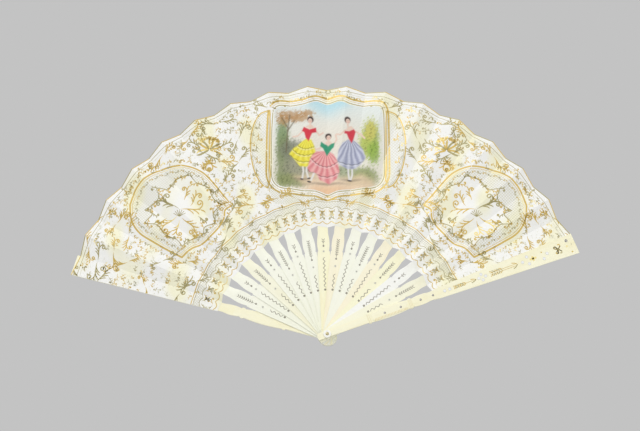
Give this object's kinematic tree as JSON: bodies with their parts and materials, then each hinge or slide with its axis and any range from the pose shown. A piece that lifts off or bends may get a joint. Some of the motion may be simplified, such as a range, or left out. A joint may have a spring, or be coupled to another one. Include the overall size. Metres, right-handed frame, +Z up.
{
  "type": "folding hand fan",
  "caption": "Folding hand fan, open: bone guards and sticks turning on one rivet, and a pleated double paper leaf with gilt scroll decoration.",
  "frame": {"origin": "middle of the rivet, on its axis and half way through the stack of sticks", "axes": "+Z up with the fan held upright and open, +X to the right seen from the front, the front looks along -Y, which is also the rivet's axis"},
  "size_m": [0.5068, 0.0232, 0.2728],
  "materials": {
    "bone": "polished cream bone, satin, faint grain along each stick",
    "paper": "white paper printed with gold scrollwork, gilt edge",
    "mother_of_pearl": "polished mother-of-pearl",
    "steel": "small domed steel studs",
    "rivet_metal": "dull brass pin, hammered ends"
  },
  "bodies": {
    "rear_guard": {"rear_guard": "bone", "rear_guard_studs": "steel", "rear_guard_discs": "mother_of_pearl", "rivet_pin": "rivet_metal", "rear_washer": "bone", "front_washer": "bone", "leaf_panel_00": "paper"},
    "stick_01": {"stick_01": "bone", "leaf_panel_01": "paper", "leaf_fold_01": "paper"},
    "stick_02": {"stick_02": "bone", "leaf_panel_02": "paper", "leaf_fold_02": "paper"},
    "stick_03": {"stick_03": "bone", "leaf_panel_03": "paper", "leaf_fold_03": "paper"},
    "stick_04": {"stick_04": "bone", "leaf_panel_04": "paper", "leaf_fold_04": "paper"},
    "stick_05": {"stick_05": "bone", "leaf_panel_05": "paper", "leaf_fold_05": "paper"},
    "stick_06": {"stick_06": "bone", "leaf_panel_06": "paper", "leaf_fold_06": "paper"},
    "stick_07": {"stick_07": "bone", "leaf_panel_07": "paper", "leaf_fold_07": "paper"},
    "stick_08": {"stick_08": "bone", "leaf_panel_08": "paper", "leaf_fold_08": "paper"},
    "stick_09": {"stick_09": "bone", "leaf_panel_09": "paper", "leaf_fold_09": "paper"},
    "stick_10": {"stick_10": "bone", "leaf_panel_10": "paper", "leaf_fold_10": "paper"},
    "stick_11": {"stick_11": "bone", "leaf_panel_11": "paper", "leaf_fold_11": "paper"},
    "stick_12": {"stick_12": "bone", "leaf_panel_12": "paper", "leaf_fold_12": "paper"},
    "stick_13": {"stick_13": "bone", "leaf_panel_13": "paper", "leaf_fold_13": "paper"},
    "stick_14": {"stick_14": "bone", "leaf_panel_14": "paper", "leaf_fold_14": "paper"},
    "stick_15": {"stick_15": "bone", "leaf_panel_15": "paper", "leaf_fold_15": "paper"},
    "front_guard": {"front_guard": "bone", "front_guard_studs": "steel", "front_guard_discs": "mother_of_pearl", "leaf_panel_16": "paper", "leaf_fold_16": "paper"}
  },
  "joints": [
    {"name": "spread_01", "type": "hinge", "parent": "rear_guard", "child": "stick_01", "pos_m": [0, 0, 0], "axis": [0, 1, 0], "range_deg": [-8.98, 0], "deforming": ["leaf_fold_01"]},
    {"name": "spread_02", "type": "hinge", "parent": "stick_01", "child": "stick_02", "pos_m": [0, 0, 0], "axis": [0, 1, 0], "range_deg": [-8.98, 0], "deforming": ["leaf_fold_02"]},
    {"name": "spread_03", "type": "hinge", "parent": "stick_02", "child": "stick_03", "pos_m": [0, 0, 0], "axis": [0, 1, 0], "range_deg": [-8.98, 0], "deforming": ["leaf_fold_03"]},
    {"name": "spread_04", "type": "hinge", "parent": "stick_03", "child": "stick_04", "pos_m": [0, 0, 0], "axis": [0, 1, 0], "range_deg": [-8.98, 0], "deforming": ["leaf_fold_04"]},
    {"name": "spread_05", "type": "hinge", "parent": "stick_04", "child": "stick_05", "pos_m": [0, 0, 0], "axis": [0, 1, 0], "range_deg": [-8.98, 0], "deforming": ["leaf_fold_05"]},
    {"name": "spread_06", "type": "hinge", "parent": "stick_05", "child": "stick_06", "pos_m": [0, 0, 0], "axis": [0, 1, 0], "range_deg": [-8.98, 0], "deforming": ["leaf_fold_06"]},
    {"name": "spread_07", "type": "hinge", "parent": "stick_06", "child": "stick_07", "pos_m": [0, 0, 0], "axis": [0, 1, 0], "range_deg": [-8.98, 0], "deforming": ["leaf_fold_07"]},
    {"name": "spread_08", "type": "hinge", "parent": "stick_07", "child": "stick_08", "pos_m": [0, 0, 0], "axis": [0, 1, 0], "range_deg": [-8.98, 0], "deforming": ["leaf_fold_08"]},
    {"name": "spread_09", "type": "hinge", "parent": "stick_08", "child": "stick_09", "pos_m": [0, 0, 0], "axis": [0, 1, 0], "range_deg": [-8.98, 0], "deforming": ["leaf_fold_09"]},
    {"name": "spread_10", "type": "hinge", "parent": "stick_09", "child": "stick_10", "pos_m": [0, 0, 0], "axis": [0, 1, 0], "range_deg": [-8.98, 0], "deforming": ["leaf_fold_10"]},
    {"name": "spread_11", "type": "hinge", "parent": "stick_10", "child": "stick_11", "pos_m": [0, 0, 0], "axis": [0, 1, 0], "range_deg": [-8.98, 0], "deforming": ["leaf_fold_11"]},
    {"name": "spread_12", "type": "hinge", "parent": "stick_11", "child": "stick_12", "pos_m": [0, 0, 0], "axis": [0, 1, 0], "range_deg": [-8.98, 0], "deforming": ["leaf_fold_12"]},
    {"name": "spread_13", "type": "hinge", "parent": "stick_12", "child": "stick_13", "pos_m": [0, 0, 0], "axis": [0, 1, 0], "range_deg": [-8.98, 0], "deforming": ["leaf_fold_13"]},
    {"name": "spread_14", "type": "hinge", "parent": "stick_13", "child": "stick_14", "pos_m": [0, 0, 0], "axis": [0, 1, 0], "range_deg": [-8.98, 0], "deforming": ["leaf_fold_14"]},
    {"name": "spread_15", "type": "hinge", "parent": "stick_14", "child": "stick_15", "pos_m": [0, 0, 0], "axis": [0, 1, 0], "range_deg": [-8.98, 0], "deforming": ["leaf_fold_15"]},
    {"name": "spread_16", "type": "hinge", "parent": "stick_15", "child": "front_guard", "pos_m": [0, 0, 0], "axis": [0, 1, 0], "range_deg": [-8.98, 0], "deforming": ["leaf_fold_16"]}
  ],
  "couplings": [
    {"joint": "spread_02", "follows": "spread_01", "ratio": 1},
    {"joint": "spread_03", "follows": "spread_01", "ratio": 1},
    {"joint": "spread_04", "follows": "spread_01", "ratio": 1},
    {"joint": "spread_05", "follows": "spread_01", "ratio": 1},
    {"joint": "spread_06", "follows": "spread_01", "ratio": 1},
    {"joint": "spread_07", "follows": "spread_01", "ratio": 1},
    {"joint": "spread_08", "follows": "spread_01", "ratio": 1},
    {"joint": "spread_09", "follows": "spread_01", "ratio": 1},
    {"joint": "spread_10", "follows": "spread_01", "ratio": 1},
    {"joint": "spread_11", "follows": "spread_01", "ratio": 1},
    {"joint": "spread_12", "follows": "spread_01", "ratio": 1},
    {"joint": "spread_13", "follows": "spread_01", "ratio": 1},
    {"joint": "spread_14", "follows": "spread_01", "ratio": 1},
    {"joint": "spread_15", "follows": "spread_01", "ratio": 1},
    {"joint": "spread_16", "follows": "spread_01", "ratio": 1}
  ]
}
